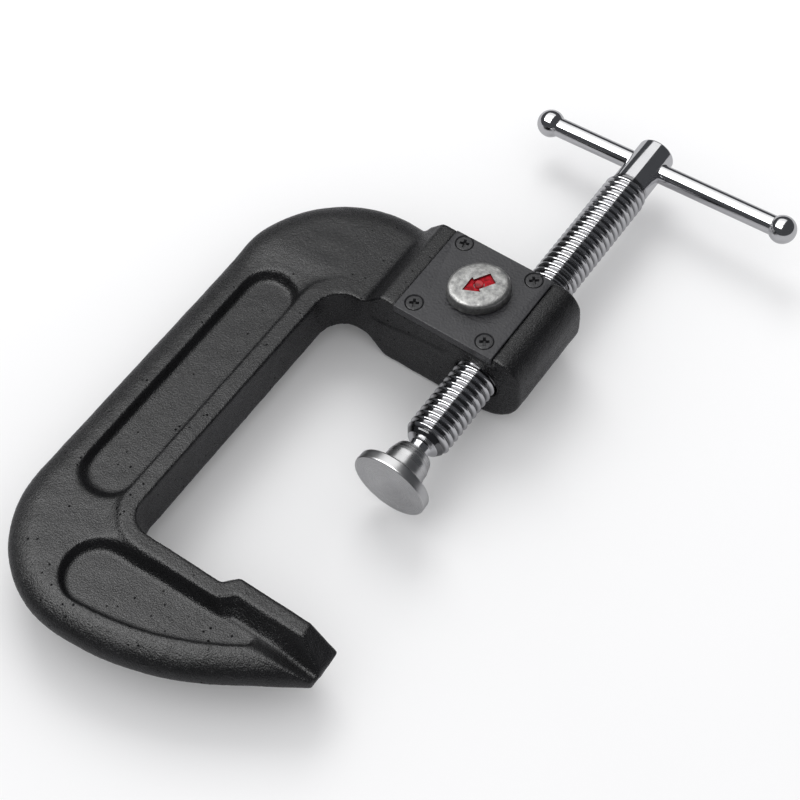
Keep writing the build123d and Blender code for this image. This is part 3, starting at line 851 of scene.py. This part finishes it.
def face_height(x, y):
    """Height of the broad face above the middle plane, in millimetres."""
    p = np.stack([x, y], 1)
    inner = path_distance(p, inner_path())
    outer = path_distance(p, outer_path())
    widening = (RIM_WIDTH_SPINE - RIM_WIDTH) * smooth_step(*RIM_WIDENS_Y, y)
    past_strip = inner - RIM_WIDTH - widening
    fall = WEB_DROP * (1 - np.exp(-np.maximum(past_strip, 0) / WEB_RUN))
    web = BODY_HALF - fall * (1 - smooth_step(*ARM_RISE_Y, y))
    depth = web - POCKET_FLOOR
    spine_floor = outline_distance(p, spine_pocket(SPINE_FLOOR_Y, SPINE_FLOOR_X))
    spine_rim = -outline_distance(p, spine_pocket(SPINE_RIM_Y, SPINE_RIM_X))
    arm_floor = outline_distance(p, arm_pocket(0, 0))
    arm_rim = -outline_distance(p, arm_pocket(ARM_POCKET_SLOPE, ARM_POCKET_SHIFT))
    height = web - depth * (1 - wall(spine_floor, spine_rim, past_strip))
    height = np.minimum(height, web - depth * (1 - wall(arm_floor, arm_rim, past_strip)))
    foot, share = jaw_fall(x, past_strip)
    at_jaw = smooth_step(*JAW_SLOPE_X, x) * (1 - smooth_step(*JAW_SLOPE_Y, y))
    height = np.minimum(height, BODY_HALF - (BODY_HALF - foot) * share * at_jaw)
    inside = np.clip(outer, 0, CROWN_RUN)
    drop = 1 - np.sqrt(np.maximum(1 - (1 - inside / CROWN_RUN) ** 2, 0))
    height = smooth_min(height, web - CROWN_DROP * drop + CROWN_LIFT, CROWN_FILLET)
    slant = NOSE_X - NOSE_BEVEL_SLANT * y - x
    bevel = slant * BODY_HALF / (NOSE_X - NOSE_BEVEL_X)
    return np.maximum(smooth_min(height, bevel, NOSE_BEVEL_FILLET), LEAST_HEIGHT)


def waves(points, rng, size, amount, count):
    """Random lumps of one size, summed from a count of waves."""
    turns = rng.normal(size=(count, 3))
    turns *= (2 * pi / size) / np.linalg.norm(turns, axis=1)[:, None]
    phases = rng.uniform(0, 2 * pi, count)
    return amount * sqrt(2 / count) * np.sin(points @ turns.T + phases).sum(1)


def cast_grain(points):
    """Lumps of a sand casting, in millimetres."""
    rng = np.random.default_rng(GRAIN_SEED)
    return sum(waves(points, rng, *lumps) for lumps in GRAIN)


def read_points(obj, kind="co"):
    """Vertex places in millimetres, or vertex normals."""
    values = np.empty(len(obj.data.vertices) * 3, np.float32)
    obj.data.vertices.foreach_get(kind, values)
    values = values.reshape(-1, 3).astype(float)
    return values / MM if kind == "co" else values


def write_points(obj, points):
    """Moves the vertices to places in millimetres."""
    obj.data.vertices.foreach_set("co", (points * MM).astype(np.float32).ravel())
    obj.data.update()


def remesh(obj, smoothing):
    """Even fine mesh, lightly smoothed."""
    step = obj.modifiers.new("voxels", "REMESH")
    step.mode = "VOXEL"
    step.voxel_size = CAST_VOXEL * MM
    step.adaptivity = 0
    soften = obj.modifiers.new("soften", "SMOOTH")
    soften.factor = SOFTENING
    soften.iterations = smoothing
    apply_modifiers(obj)


def shape_faces(obj):
    """Gives both broad faces of the C their rims, webs, pockets and slopes."""
    p = read_points(obj)
    x, y, z = p.T
    side = np.sign(z)
    tall = np.abs(z)
    top = face_height(x, y)
    on_boss = smooth_step(*BOSS_BLEND_X, x) * smooth_step(*BOSS_BLEND_Y, y)
    plan = p[:, :2]
    inner = path_distance(plan, inner_path())
    outer = path_distance(plan, outer_path())
    inland = (np.minimum(inner, outer) > EDGE_KEPT) & (x < NOSE_X - NOSE_KEPT)
    on_face = inland & (tall > MIDDLE_KEPT)
    shaped = np.where(on_face, top, np.minimum(tall, top))
    p[:, 2] = side * (tall + (shaped - tall) * (1 - on_boss))
    write_points(obj, p)


def shape_boss(obj):
    """Sets the front face of the boss back above its crease."""
    p = read_points(obj)
    n = read_points(obj, "normal")
    x, y, z = p.T
    above = smooth_step(*CREASE_BLEND, z - np.interp(x, CREASE_X, CREASE_Z))
    above *= smooth_step(*CREASE_START, x) * (1 - smooth_step(*CREASE_END, x))
    front = (n[:, 1] < FRONT_FACING) & (np.abs(y - BOSS_FRONT) < FRONT_REACH)
    p[:, 1] += np.where(front, CREASE_STEP * above, 0)
    write_points(obj, p)


def keep_clear(p):
    """Opens the screw bore a little, so that the mesh never meets the thread."""
    radius = np.hypot(p[:, 0], p[:, 2])
    in_bore = (radius < BORE_R + BORE_REACH) & (p[:, 1] > BOSS_FRONT - BORE_LEAD)
    grow = np.where(in_bore, np.maximum(BORE_R + BORE_GAP, radius) / np.maximum(radius, 1), 1)
    p[:, 0] *= grow
    p[:, 2] *= grow
    return in_bore


def make_frame_casting(node, material):
    """Cast frame: the CAD solid in a fine even mesh, with its rims, webs, crowns and grain."""
    obj = bpy.data.objects.new("frame_casting", node.data.copy())
    bpy.context.scene.collection.objects.link(obj)
    bm = bmesh.new()
    bm.from_mesh(obj.data)
    bmesh.ops.remove_doubles(bm, verts=bm.verts, dist=WELD)
    bm.to_mesh(obj.data)
    bm.free()
    remesh(obj, smoothing=1)
    shape_faces(obj)
    shape_boss(obj)
    remesh(obj, smoothing=2)
    p = read_points(obj)
    n = read_points(obj, "normal")
    in_bore = keep_clear(p)
    p += n * (cast_grain(p) * ~in_bore)[:, None]
    low, high = (np.array(corner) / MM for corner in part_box("frame"))
    write_points(obj, np.clip(p, low, high))
    finish_piece(obj, material, "clamp_frame")
    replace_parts(obj, "frame")


# ---------------------------------------------------------------- screw and pad


def thread_radius(phase):
    """Radius of the thread at a phase of one pitch, rounded at its crest and its root."""
    return ROOT_R + (CREST_R - ROOT_R) * abs(sin(pi * phase)) ** THREAD_FULLNESS


def thread_point(row, column):
    """Point of the helical thread surface."""
    angle = 2 * pi * column / THREAD_SEGMENTS
    lead = THREAD_PITCH * (row / THREAD_ROWS + column / THREAD_SEGMENTS)
    y = SHOULDER_Y - THREAD_PITCH + lead
    radius = thread_radius(row / THREAD_ROWS + THREAD_PHASE)
    rise = (y - SHOULDER_Y) / (THREAD_FULL_START - SHOULDER_Y)
    start = SHOULDER_R + (CREST_R - SHOULDER_R) * rise
    fade = float(smooth_step(*THREAD_FADE, y))
    radius = min(radius, max(start, SHOULDER_R))
    radius = radius * (1 - fade) + HEAD_R * fade
    y = min(max(y, SHOULDER_Y), THREAD_FADE[1] + THREAD_TUCK)
    return (radius * cos(angle), y, -radius * sin(angle))


def close_thread(obj):
    """Merges the squashed ends of the thread and closes them."""
    bm = bmesh.new()
    bm.from_mesh(obj.data)
    bmesh.ops.remove_doubles(bm, verts=bm.verts, dist=THREAD_WELD)
    bmesh.ops.dissolve_degenerate(bm, edges=bm.edges, dist=WELD)
    loose = [v for v in bm.verts if not v.link_faces]
    bmesh.ops.delete(bm, geom=loose, context="VERTS")
    bmesh.ops.holes_fill(bm, edges=[e for e in bm.edges if e.is_boundary], sides=0)
    bmesh.ops.recalc_face_normals(bm, faces=bm.faces)
    bm.to_mesh(obj.data)
    bm.free()


def make_thread(material):
    """Threaded part of the screw as one true right-hand helix."""
    turns = ceil((THREAD_FADE[1] + THREAD_OVERRUN - SHOULDER_Y) / THREAD_PITCH)
    rows = (turns + THREAD_SPARE_TURNS) * THREAD_ROWS
    points = [thread_point(i, j) for i in range(rows) for j in range(THREAD_SEGMENTS)]
    faces = []
    for i in range(rows - THREAD_ROWS - 1):
        for j in range(THREAD_SEGMENTS):
            a = i * THREAD_SEGMENTS + j
            d = a + THREAD_SEGMENTS
            if j + 1 < THREAD_SEGMENTS:
                b, c = a + 1, d + 1
            else:
                b = (i + THREAD_ROWS) * THREAD_SEGMENTS
                c = b + THREAD_SEGMENTS
            faces.append((a, b, c, d))
    obj = mesh_piece("screw_thread", points, faces, material, "screw")
    close_thread(obj)
    return obj


def ball_arc(radius, start, end, count):
    """Profile of a sphere about the ball centre, between angles in degrees from its front."""
    angles = np.radians(np.linspace(start, end, count))
    return [(radius * sin(a), BALL_Y - radius * cos(a)) for a in angles]


def make_screw_tip(material):
    """Ball end and neck of the screw."""
    profile = ball_arc(BALL_R, 0, BALL_SWEEP, count=24) + rounded_profile(NECK_PROFILE)
    return lathe("screw_tip", profile, material, "screw")


def along_handle(obj):
    """Turns a piece drawn along Y at the origin onto the handle axis."""
    turn = Matrix.Rotation(radians(-HANDLE_ANGLE), 4, "Y") @ Matrix.Rotation(radians(-90), 4, "Z")
    obj.data.transform(Matrix.Translation((0, HANDLE_Y * MM, 0)) @ turn)
    obj.data.update()


def make_screw_head(material):
    """Plain head of the screw with its cross hole."""
    corners = [
        (0, HEAD_START, 0),
        (HEAD_R, HEAD_START, 0),
        (HEAD_R, HEAD_END, HEAD_ROUND),
        (0, HEAD_END, 0),
    ]
    profile = rounded_profile(corners, steps=8)
    head = lathe("screw_head", profile, material, "screw")
    profile = pin(BAR_R + BAR_GAP, (-BAR_HOLE_HALF, BAR_HOLE_HALF))
    hole = lathe("hole", profile, material, "screw")
    along_handle(hole)
    cut_away(head, hole)
    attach(head, "screw")
    round_edges(head, *HEAD_EDGE)
    return head


def make_pad(material):
    """Swivel pad: disc, collar and the socket for the ball end."""
    profile = rounded_profile(PAD_PROFILE) + ball_arc(SOCKET_R, 90, 0, count=16)[1:]
    return lathe("pad_turning", profile, material, "pad", PAD_SEGMENTS)


# ---------------------------------------------------------------- handle


def ball_seat():
    """Distance from an end ball's centre to where the bar leaves it."""
    return sqrt(BALL_END_R**2 - BAR_R**2)


def make_bar(material):
    """Sliding bar whose rounded ends reach into the balls."""
    left = LEFT_BALL + ball_seat() - BAR_TUCK
    right = RIGHT_BALL - ball_seat() + BAR_TUCK
    corners = [(0, left, 0), (BAR_R, left, BAR_ROUND), (BAR_R, right, BAR_ROUND), (0, right, 0)]
    profile = rounded_profile(corners)
    bar = lathe("cross_bar", profile, material, "handle", SMALL_SEGMENTS)
    along_handle(bar)
    return bar


def make_ball(name, centre, side, material):
    """End ball with a short collar round the bar, which leaves it toward the given side."""
    radius = BALL_END_R - BALL_INSET
    sweep = acos(-ball_seat() / BALL_END_R)
    half = [(radius * sin(a), -radius * cos(a)) for a in np.linspace(0, sweep, 40)]
    collar = ball_seat() + COLLAR_LENGTH
    half += [(BAR_R + COLLAR_LIP, collar), (0, collar)]
    profile = [(r, centre + side * y) for r, y in half]
    ball = lathe(name, profile, material, "handle", SMALL_SEGMENTS)
    along_handle(ball)
    return ball


# ---------------------------------------------------------------- knob


def about_knob(x, y, degrees):
    """Place in plan of a point given about the knob axis, turned by an angle."""
    turn = radians(degrees)
    return (
        KNOB_PLACE[0] + x * cos(turn) - y * sin(turn),
        KNOB_PLACE[1] + x * sin(turn) + y * cos(turn),
    )


def oval_ring(long, short, z, segments=120):
    """Ring of an oval about the knob axis."""
    angles = [2 * pi * k / segments for k in range(segments)]
    return [(*about_knob(long * cos(a), short * sin(a), KNOB_ANGLE), z) for a in angles]


def arrow_outline(grow):
    """Arrow in plan about the knob axis, grown outward."""
    tip, back, tail = ARROW_TIP + grow, ARROW_BACK - grow, ARROW_TAIL + grow
    head, shaft = ARROW_HEAD_HALF + grow, ARROW_SHAFT_HALF + grow
    outline = [(tip, 0), (back, head), (back, shaft), (-tail, shaft)]
    outline += [(x, -y) for x, y in outline[:0:-1]]
    return [about_knob(x, y, ARROW_DIRECTION) for x, y in outline]


def prism(name, plan, bottom, top, material, body, slot):
    """Upright prism over an outline in plan."""
    n = len(plan)
    points = [(x, y, bottom) for x, y in plan] + [(x, y, top) for x, y in plan]
    faces = [tuple(range(n))[::-1], tuple(range(n, 2 * n))]
    faces += [(i, (i + 1) % n, n + (i + 1) % n, n + i) for i in range(n)]
    return mesh_piece(name, points, faces, material, body)


def knob_rings():
    """Rings of the knob from its base over the shoulder to the middle of its domed top."""
    levels = [(KNOB_BASE_Z + height, inset) for height, inset in KNOB_LEVELS]
    low, inset = KNOB_BASE_Z + SHOULDER_LEVEL[0], SHOULDER_LEVEL[1]
    for k in range(1, SHOULDER_STEPS):
        a = k / SHOULDER_STEPS * pi / 2
        spread = SHOULDER_HEIGHT * (1 - cos(a)) * SHOULDER_SPREAD
        levels.append((low + SHOULDER_HEIGHT * sin(a), inset + spread))
    rings = [oval_ring(KNOB_LONG - step, KNOB_SHORT - step, z) for z, step in levels]
    z, inset = levels[-1]
    top = KNOB_TOP_Z - DOME_GAP
    for k in range(1, DOME_STEPS):
        scale = 1 - k / DOME_STEPS
        height = top - (top - z) * scale**DOME_POWER
        rings.append(oval_ring((KNOB_LONG - inset) * scale, (KNOB_SHORT - inset) * scale, height))
    return rings


def make_knob(material):
    """Oval knob with a soft shoulder, a slightly domed top and a sunk arrow."""
    rings = knob_rings()
    count = len(rings[0])
    points = [p for ring in rings for p in ring]
    faces = []
    for low in range(0, len(points) - count, count):
        for k in range(count):
            n = (k + 1) % count
            faces.append((low + k, low + n, low + count + n, low + count + k))
    faces.append(tuple(range(count))[::-1])
    faces.append(tuple(range(len(points) - count, len(points))))
    knob = mesh_piece("oval_knob", points, faces, material, "release_cam")
    outward(knob)
    plan = arrow_outline(ARROW_SUNK_GROW)
    levels = (ARROW_FLOOR_Z, SINK_TOP_Z)
    sink = prism("sink", plan, *levels, material, "release_cam", "cast_zinc")
    cut_away(knob, sink)
    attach(knob, "release_cam")
    round_edges(knob, *KNOB_EDGE)
    return knob


def make_arrow_paint(material):
    """Red paint that fills the lower part of the sunk arrow round the stud."""
    plan = arrow_outline(ARROW_PAINT_GROW)
    levels = (ARROW_FLOOR_Z, ARROW_PAINT_Z)
    paint = prism("arrow_paint", plan, *levels, material, "release_cam", "red_paint")
    profile = pin(STUD_HOLE_R, STUD_HOLE_Z)
    hole = lathe("hole", profile, material, "release_cam")
    stand_up(hole, *KNOB_PLACE)
    cut_away(paint, hole)
    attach(paint, "release_cam")
    round_edges(paint, *PAINT_EDGE)
    return paint


# ---------------------------------------------------------------- cover plate


def stand_up(obj, x, y):
    """Turns a piece drawn along Y at the origin upright at a place in plan."""
    upright = Matrix.Rotation(radians(90), 4, "X")
    obj.data.transform(Matrix.Translation((x * MM, y * MM, 0)) @ upright)
    obj.data.update()


def make_plate(material):
    """Cover plate with its four countersunk holes and the hole for the cam shaft."""
    (x0, x1), (y0, y1) = PLATE_X, PLATE_Y
    plan = [(x0, y0), (x1, y0), (x1, y1), (x0, y1)]
    levels = (PLATE_BOTTOM, BOSS_TOP)
    name = "plate_black_cover"
    plate = prism(name, plan, *levels, material, "clamp_frame", "black_plate")
    outward(plate)
    round_edges(plate, *PLATE_EDGE)
    apply_modifiers(plate)
    holes = [(x, y, COUNTERSINK) for x in SCREW_X for y in SCREW_Y]
    holes.append((*KNOB_PLACE, pin(SHAFT_HOLE_R, SHAFT_HOLE_Z)))
    for x, y, profile in holes:
        hole = lathe("hole", profile, material, "clamp_frame", SMALL_SEGMENTS)
        stand_up(hole, x, y)
        cut_away(plate, hole)
    round_edges(plate, *HOLE_EDGE)
    apply_modifiers(plate)
    plate.data.set_sharp_from_angle(angle=radians(PLATE_SHARP))
    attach(plate, "clamp_frame")
    return plate


def cross_arm(x, y, angle, material):
    """Tapered cutter for one arm of a cross recess."""
    turn = radians(angle)
    points = []
    for z, long, wide in CROSS_LEVELS:
        for u, v in ((-long, -wide), (long, -wide), (long, wide), (-long, wide)):
            across = x + u * cos(turn) - v * sin(turn)
            along = y + u * sin(turn) + v * cos(turn)
            points.append((across, along, z))
    faces = [(3, 2, 1, 0), (4, 5, 6, 7), (0, 1, 5, 4), (1, 2, 6, 5), (2, 3, 7, 6), (3, 0, 4, 7)]
    return mesh_piece("arm", points, faces, material, "clamp_frame")


def make_cover_screw(name, x, y, angle, material):
    """Countersunk screw with a cross recess turned by an angle."""
    profile = rounded_profile(SCREW_PROFILE, steps=4)
    screw = lathe(name, profile, material, "clamp_frame", SMALL_SEGMENTS)
    stand_up(screw, x, y)
    for turn in (angle, angle + 90):
        cut_away(screw, cross_arm(x, y, turn, material))
    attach(screw, "clamp_frame")
    round_edges(screw, *CROSS_EDGE)
    return screw


# ---------------------------------------------------------------- stage


def make_camera():
    """Camera at the viewing angle, with a slight roll."""
    azimuth = radians(CAMERA_AZIMUTH)
    elevation = radians(CAMERA_ELEVATION)
    back = Vector((sin(azimuth) * cos(elevation), -cos(azimuth) * cos(elevation), sin(elevation)))
    right = Vector((cos(azimuth), sin(azimuth), 0))
    up = back.cross(right)
    roll = radians(CAMERA_ROLL)
    turned_right = cos(roll) * right + sin(roll) * up
    turned_up = cos(roll) * up - sin(roll) * right
    data = bpy.data.cameras.new("camera")
    data.lens = CAMERA_LENS
    data.sensor_width = CAMERA_SENSOR
    data.clip_start = CAMERA_CLIP
    camera = bpy.data.objects.new("camera", data)
    bpy.context.scene.collection.objects.link(camera)
    axes = Matrix((turned_right, turned_up, back)).transposed().to_4x4()
    camera.matrix_world = Matrix.Translation(CAMERA_PLACE) @ axes
    bpy.context.scene.camera = camera


def area_light(name, place, target, size, power):
    """Soft rectangular light aimed at a point."""
    data = bpy.data.lights.new(name, "AREA")
    data.shape = "RECTANGLE"
    data.size, data.size_y = size
    data.energy = power
    lamp = bpy.data.objects.new(name, data)
    bpy.context.scene.collection.objects.link(lamp)
    aim = Vector(target) - Vector(place)
    lamp.rotation_euler = aim.to_track_quat("-Z", "Y").to_euler()
    lamp.location = place
    return lamp


def make_floor(low_z):
    """Pale floor just under the lowest point, with painted shade where polished surfaces mirror
    it: darker there.
    """
    data = bpy.data.meshes.new("floor")
    half = FLOOR_SIZE / 2
    corners = ((-half, -half), (half, -half), (half, half), (-half, half))
    data.from_pydata([(x, y, low_z - FLOOR_GAP) for x, y in corners], [], [(0, 1, 2, 3)])
    floor = bpy.data.objects.new("floor", data)
    bpy.context.scene.collection.objects.link(floor)
    mat, tree, shader = new_material(
        "pale_floor", Roughness=FLOOR_ROUGHNESS, Specular_IOR_Level=FLOOR_SPECULAR
    )
    tone = ramp(tree, noise(tree, coords(tree), FLOOR_NOISE), FLOOR_TONES)
    rays = tree.nodes.new("ShaderNodeLightPath")
    # Painted shade in reflections: glossy rays see the floor darker
    tone = mix(tree, rays.outputs["Is Glossy Ray"], tone, MIRRORED_FLOOR_TONE)
    drive(tree, shader, Base_Color=tone)
    data.materials.append(mat)


def make_surround():
    """Even pale light for matte surfaces and a dim room for polished ones."""
    world = bpy.data.worlds.new("studio")
    world.use_nodes = True
    tree = world.node_tree
    background = tree.nodes["Background"]
    rays = tree.nodes.new("ShaderNodeLightPath")
    tone = mix(tree, rays.outputs["Is Glossy Ray"], SURROUND_TONE, ROOM_TONE)
    tree.links.new(tone, background.inputs["Color"])
    world.cycles.sampling_method = "NONE"
    bpy.context.scene.world = world
    bpy.context.scene.view_settings.view_transform = "Standard"


def make_stage(low_z):
    """Floor, surround, soft key light and the screens that polished surfaces mirror."""
    make_floor(low_z)
    make_surround()
    key = area_light("key", KEY_PLACE, KEY_TARGET, KEY_SIZE, KEY_POWER)
    key.visible_glossy = False
    for name, place, size, radiance in SCREENS:
        power = pi * size[0] * size[1] * radiance
        screen = area_light(name, place, (place[0], place[1], 0), size, power)
        screen.rotation_euler = (0, 0, 0)
        screen.visible_diffuse = False


# ---------------------------------------------------------------- the clamp


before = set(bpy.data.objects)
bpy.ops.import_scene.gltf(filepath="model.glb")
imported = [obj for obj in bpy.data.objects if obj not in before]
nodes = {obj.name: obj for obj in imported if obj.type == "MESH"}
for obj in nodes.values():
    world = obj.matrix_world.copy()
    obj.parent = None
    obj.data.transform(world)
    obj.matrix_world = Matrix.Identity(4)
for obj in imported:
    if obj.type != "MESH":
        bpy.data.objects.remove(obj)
cad_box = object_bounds()

casting = cast_black()
plate_black = smooth_black("plate_black", PLATE_TONES, PLATE_ROUGHNESS)
screw_black = smooth_black("screw_black", SCREW_TONES, SCREW_ROUGHNESS)
bright = chrome("bright_plating", CHROME_TONES, CHROME_ROUGHNESS)
# The thread's plating carries painted shade in its roots
rolled = chrome("rolled_plating", THREAD_TONES, THREAD_ROUGHNESS, shaded_roots=True)
plating = turned_plating()
zinc = cast_zinc()
red = red_paint()
steel = oiled_steel()
stud = painted_stud()

for name, material in (
    ("cam_shaft", stud),
    ("wave_washer", steel),
    ("half_nut", steel),
    ("pad_retaining_ring", steel),
):
    node = nodes[name]
    node.data.materials.clear()
    node.data.materials.append(material)

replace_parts(make_plate(plate_black), "cover_plate")
places = [(x, y) for y in SCREW_Y for x in SCREW_X]
for number, ((x, y), angle) in enumerate(zip(places, SCREW_TURNS), start=1):
    screw = make_cover_screw(f"cross_screw_{number}", x, y, angle, screw_black)
    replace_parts(screw, f"cover_screw_{number}")
make_frame_casting(nodes["frame"], casting)
for piece in (make_thread(rolled), make_screw_tip(bright), make_screw_head(bright)):
    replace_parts(piece, "spindle")
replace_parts(make_pad(plating), "swivel_pad")
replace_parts(make_bar(bright), "handle_bar")
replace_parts(make_ball("ball_left", LEFT_BALL, 1, bright), "handle_ball_1")
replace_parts(make_ball("ball_right", RIGHT_BALL, -1, bright), "handle_ball_2")
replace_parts(make_knob(zinc), "release_knob")
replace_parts(make_arrow_paint(red), "knob_arrow")

make_camera()
make_stage(cad_box[0].z)
